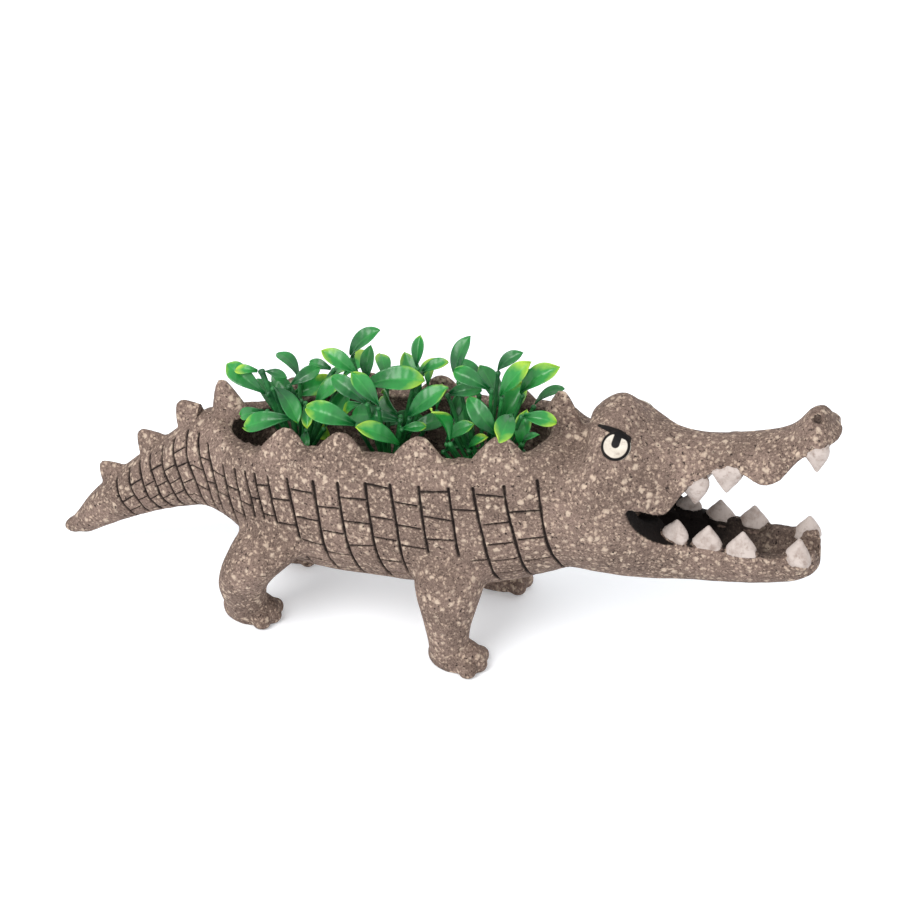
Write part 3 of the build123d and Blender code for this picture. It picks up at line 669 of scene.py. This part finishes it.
def foliage(bunch):
    """All the blades of a bunch in one mesh."""
    twigs = tree_of(bunch + "_stems")
    solids = merged(bunch + "_leaves")
    bm = bmesh.new()
    layers = {k: bm.verts.layers.float.new(k) for k in ("reach", "edge", "tint")}
    clouds = sorted(islands(solids), key=lambda c: tuple(c.mean(0).round(5)))
    for cloud in clouds:
        leaf_blade(bm, leaf_frame(cloud, twigs), rng.random(), layers)
    solids.free()
    bmesh.ops.recalc_face_normals(bm, faces=bm.faces)
    bmesh.ops.solidify(bm, geom=bm.faces[:], thickness=0.5 * mm)
    obj = piece(bunch + "_foliage", bm, bunch + "_bunch", [bunch + "_leaves"])
    rounded = obj.modifiers.new("rounded", "SUBSURF")
    rounded.levels = rounded.render_levels = 1
    print(bunch, "leaves", len(clouds))
    return obj


blades = [foliage(bunch) for bunch in ("rear", "middle", "front")]

# %% [markdown]
# ## Twigs and foam
# The twigs are moulded in one with their joints, so their rods are drawn together by voxels as the clay was. The
# foam that holds them is a plain block, grainy where it was cut; its dark green is partly its own, partly painted
# shade.


# %% Twigs and foam
twig_voxel, foam_voxel = 0.32, 1.4


def twigs_of(bunch):
    """The rods of a bunch as one moulding."""
    bm = voxels(merged(bunch + "_stems"), twig_voxel * mm)
    smooth(bm, 5)
    return piece(bunch + "_twigs", bm, bunch + "_bunch", [bunch + "_stems"])


twigs = [twigs_of(bunch) for bunch in ("rear", "middle", "front")]
foam_skin = voxels(merged("foam_block"), foam_voxel * mm)
smooth(foam_skin, 3)
foam_skin.normal_update()
for v in foam_skin.verts:
    v.co -= v.normal * (0.15 + 0.15 * noise.noise(v.co / (1.6 * mm))) * mm
foam = piece("foam_with_painted_shade", foam_skin, "planter", ["foam_block"])

# %% [markdown]
# ## Finishes
# A finish is a small program on each point of a surface. Writing it as sums of values keeps it readable, so a class
# wraps a socket and turns + - * into Math nodes, and one method adds every other node.


# %% A socket that does sums
class Value:
    """An output of a finish, with arithmetic on single numbers."""

    def __init__(self, finish, socket):
        self.finish, self.socket = finish, socket

    def sum(self, operation, a, b, clamp=False):
        return self.finish.add("ShaderNodeMath", {"operation": operation, "use_clamp": clamp}, {0: a, 1: b})

    def __add__(self, other):
        return self.sum("ADD", self, other)

    def __sub__(self, other):
        return self.sum("SUBTRACT", self, other)

    def __rsub__(self, other):
        return self.sum("SUBTRACT", other, self)

    def __mul__(self, other):
        return self.sum("MULTIPLY", self, other)

    def held(self):
        """The value kept between 0 and 1."""
        return self.sum("ADD", self, 0.0, clamp=True)

    __radd__, __rmul__ = __add__, __mul__


class Finish:
    """A material under construction."""

    def __init__(self, name):
        self.material = bpy.data.materials.new(name)
        self.material.use_nodes = True
        self.tree = self.material.node_tree
        self.tree.nodes.clear()

    def add(self, kind, settings=None, sockets=None, out=0):
        node = self.tree.nodes.new(kind)
        for key, value in (settings or {}).items():
            setattr(node, key, value)
        for key, value in (sockets or {}).items():
            if isinstance(value, Value):
                self.tree.links.new(value.socket, node.inputs[key])
            else:
                node.inputs[key].default_value = value
        return Value(self, node.outputs[out]) if len(node.outputs) else None

    def blend(self, share, a, b):
        """Colour a going over to colour b by a share."""
        return self.add("ShaderNodeMix", {"data_type": "RGBA"}, {0: share, 6: a, 7: b}, out=2)

    def noise(self, spot, scale, detail=3.0, rough=0.55):
        return self.add("ShaderNodeTexNoise", {}, {"Vector": spot, "Scale": scale, "Detail": detail,
                                                   "Roughness": rough})

    def spot(self):
        """The place of a point on its object."""
        return self.add("ShaderNodeTexCoord", {}, {}, out="Object")

    def kept(self, name):
        """A number that the mesh keeps on its points."""
        return self.add("ShaderNodeAttribute", {"attribute_name": name}, {}, out="Fac")

    def close(self, colour, rough, height=None, depth=0.0003, **fixed):
        """The shader and its output; fixed sets its other sockets."""
        sockets = {"Base Color": colour, "Roughness": rough, **fixed}
        if height is not None:
            sockets["Normal"] = self.add("ShaderNodeBump", {}, {"Height": height, "Strength": 1.0,
                                                                "Distance": depth}, out="Normal")
        shader = self.add("ShaderNodeBsdfPrincipled", {}, sockets)
        self.add("ShaderNodeOutputMaterial", {}, {"Surface": shader})
        return self.material


def rgb(r, g, b):
    """A colour by its screen values from 0 to 255."""
    return tuple(((c / 255 + 0.055) / 1.055) ** 2.4 for c in (r, g, b)) + (1.0,)


# %% [markdown]
# ## Speckled clay
# Grog, crushed fired clay, shows as cream flecks of all sizes in a warm grey-brown body, with small dark pits where
# grains fell out. Cells with random middles give the flecks: each cell draws its own fleck size, and noise pushes
# their edges out of round.

# %% Clay finish
dry = {"Specular IOR Level": 0.12}


def flecked(finish):
    """Colour and height of the bare clay."""
    spot = finish.spot()
    drift = finish.add("ShaderNodeTexNoise", {}, {"Vector": spot, "Scale": 620.0, "Detail": 2.0}, out="Color")
    loose = finish.add("ShaderNodeVectorMath", {"operation": "MULTIPLY_ADD"},
                       {0: drift, 1: (0.0022,) * 3, 2: spot})

    def flecks(scale, least, spread, edge):
        cell = finish.add("ShaderNodeTexVoronoi", {}, {"Vector": loose, "Scale": scale})
        lot = finish.add("ShaderNodeTexVoronoi", {}, {"Vector": loose, "Scale": scale}, out="Color")
        draw = finish.add("ShaderNodeSeparateColor", {}, {0: lot})
        return ((draw * spread + least - cell) * edge).held()

    coarse = flecks(360.0, 0.06, 0.46, 3.6)
    middling = flecks(700.0, 0.12, 0.50, 3.0)
    fine = flecks(1350.0, 0.16, 0.46, 2.6)
    broad = finish.noise(spot, 55.0, 4.0)
    grain = finish.noise(spot, 1050.0, 4.0, 0.75)
    body = finish.blend(((broad - 0.38) * 3.2).held(), rgb(107, 90, 81), rgb(131, 111, 101))
    body = finish.blend(((grain - 0.45) * 5.0).held() * 0.8, body, rgb(60, 48, 43))
    dusted = finish.blend(fine * 0.5, body, rgb(166, 145, 128))
    mixed = finish.blend(middling * 0.68, dusted, rgb(186, 164, 145))
    mixed = finish.blend(coarse * 0.66, mixed, rgb(202, 182, 162))
    pits = ((finish.noise(spot, 780.0, 1.0) - 0.68) * 14).held()
    mixed = finish.blend(pits * 0.85, mixed, rgb(40, 32, 30))
    height = grain * 0.5 + coarse * 0.2 + middling * 0.12 + finish.noise(spot, 420.0, 3.0) * 0.8 - pits * 0.9
    return mixed, height


def clay_finish():
    finish = Finish("speckled_clay")
    colour, height = flecked(finish)
    cut = (finish.kept("cut") * 1.5).held()
    colour = finish.blend(cut * 0.93, colour, rgb(26, 21, 20))
    # painted shade inside the trough
    colour = finish.blend(finish.kept("painted_shade") * 0.94, colour, rgb(24, 20, 19))
    return finish.close(colour, 0.82 + cut * 0.1, height, 0.0005, **dry)


def head_finish():
    finish = Finish("painted_clay")
    colour, height = flecked(finish)
    # painted shade in the mouth and the nostrils
    colour = finish.blend(finish.kept("painted_shade") * 0.98, colour, rgb(17, 13, 12))
    black = (0.5 - finish.kept("stroke") * 3.5).held()
    colour = finish.blend(black * 0.98, colour, rgb(13, 11, 11))
    return finish.close(colour, 0.82 - black * 0.15, height * (1 - black * 0.5), 0.0005, **dry)


def slip_finish(name, pale, stain, strokes=False):
    finish = Finish(name)
    spot = finish.spot()
    cloud = finish.noise(spot, 190.0, 4.0, 0.6)
    dots = finish.noise(spot, 620.0, 2.0)
    colour = finish.blend(((cloud - 0.47) * 4.0).held(), pale, stain)
    colour = finish.blend(((dots - 0.56) * 6.0).held() * 0.45, colour, rgb(118, 100, 90))
    rough = 0.62 + cloud * 0.15
    if strokes:
        black = (0.5 - finish.kept("stroke") * 3.5).held()
        colour = finish.blend(black, colour, rgb(13, 11, 11))
        rough = rough - black * 0.2
    return finish.close(colour, rough, dots + cloud * 0.6, 0.0002, **dry)


# %% Clay pieces get their finishes
clay = clay_finish()
for obj in (clay_tail, *trunk):
    obj.data.materials.append(clay)
clay_head.data.materials.append(head_finish())
slip_teeth.data.materials.append(slip_finish("tooth_slip", rgb(180, 168, 161), rgb(138, 123, 115)))
slip_eyes.data.materials.append(slip_finish("eye_slip", rgb(200, 192, 180), rgb(182, 172, 158), strokes=True))
print("clay finishes", len(clay.node_tree.nodes), "nodes")

# %% [markdown]
# ## Plastic green
# The leaves are satin plastic: deep green at the foot, fresher towards the tip, and yellow-green where the dye of
# some tips ran pale. The blade keeps how far each point is from the foot and the rib, and a number for its own tint.


# %% Plastic finishes
def leaf_finish():
    finish = Finish("leaf_plastic")
    spot = finish.spot()
    reach, edge, tint = (finish.kept(k) for k in ("reach", "edge", "tint"))
    cloud = finish.noise(spot, 160.0, 3.0)
    fresh = (reach * 0.9 + (cloud - 0.5) * 0.9 + (tint - 0.5) * 0.7).held()
    colour = finish.blend(fresh, rgb(4, 76, 32), rgb(34, 140, 54))
    pale = ((reach + edge * 0.25 - 1.33 + tint * 0.75 + (cloud - 0.5) * 0.7) * 2.6).held()
    colour = finish.blend(pale * 0.85, colour, rgb(160, 190, 52))
    rib = (1 - edge * 9.0).held()
    colour = finish.blend(rib * 0.16, colour, rgb(86, 176, 84))
    vein = finish.add("ShaderNodeTexWave", {"wave_type": "BANDS"}, {"Vector": spot, "Scale": 120.0,
                                                                    "Distortion": 3.0, "Detail": 2.0})
    return finish.close(colour, 0.26 + cloud * 0.16, vein * 0.3 + cloud, 0.00025)


def stem_finish():
    finish = Finish("stem_plastic")
    spot = finish.spot()
    cloud = finish.noise(spot, 140.0, 3.0)
    colour = finish.blend(((cloud - 0.35) * 2.4).held(), rgb(10, 74, 34), rgb(40, 128, 58))
    return finish.close(colour, 0.42 + cloud * 0.15, finish.noise(spot, 900.0, 2.0), 0.0001)


def foam_finish():
    finish = Finish("foam_green")
    spot = finish.spot()
    grain = finish.noise(spot, 1300.0, 3.0, 0.7)
    # dark green, partly the foam's own colour and partly painted shade
    colour = finish.blend(grain, rgb(20, 26, 19), rgb(46, 54, 40))
    return finish.close(colour, 0.95, grain, 0.0006)


leaf, stem = leaf_finish(), stem_finish()
for obj in blades:
    obj.data.materials.append(leaf)
for obj in twigs:
    obj.data.materials.append(stem)
foam.data.materials.append(foam_finish())
print("finishes", len(bpy.data.materials))

# %% [markdown]
# ## Studio
# The photo was lit softly from above on a white sweep. A wide pale floor and a bright, even surround do most of it,
# and one large soft light above the animal's right side gives the faint shadows under the belly. A weak one ahead
# of the snout fills the face.


# %% Floor and light
def floor_finish():
    finish = Finish("studio_floor")
    spot = finish.spot()
    colour = finish.blend(finish.noise(spot, 3.0, 2.0), rgb(244, 245, 248), rgb(248, 249, 251))
    return finish.close(colour, 0.75, **{"Emission Color": (0.92, 0.97, 1.0, 1.0), "Emission Strength": 0.2})


sweep = bmesh.new()
bmesh.ops.create_grid(sweep, x_segments=2, y_segments=2, size=6.0)
floor_mesh = bpy.data.meshes.new("floor")
sweep.to_mesh(floor_mesh)
sweep.free()
floor = bpy.data.objects.new("floor", floor_mesh)
floor.location.z = -0.1 * mm
collection.objects.link(floor)
floor_mesh.materials.append(floor_finish())


def soft_light(name, place, size, power):
    """A round lamp aimed at the animal."""
    light = bpy.data.objects.new(name, bpy.data.lights.new(name, "AREA"))
    light.data.shape = "DISK"
    light.data.size = size
    light.data.energy = power
    light.location = place
    light.rotation_euler = (Vector(place) - aim).to_track_quat("Z", "Y").to_euler()
    collection.objects.link(light)


soft_light("key", (-0.35, -0.95, 1.05), 0.9, 15.0)
soft_light("fill", (0.9, -0.6, 0.9), 0.8, 1.5)
world = bpy.data.worlds.new("surround")
world.use_nodes = True
world.node_tree.nodes["Background"].inputs["Color"].default_value = (0.97, 0.985, 1.0, 1.0)
world.node_tree.nodes["Background"].inputs["Strength"].default_value = 1.04
bpy.context.scene.world = world
bpy.context.scene.view_settings.view_transform = "Standard"
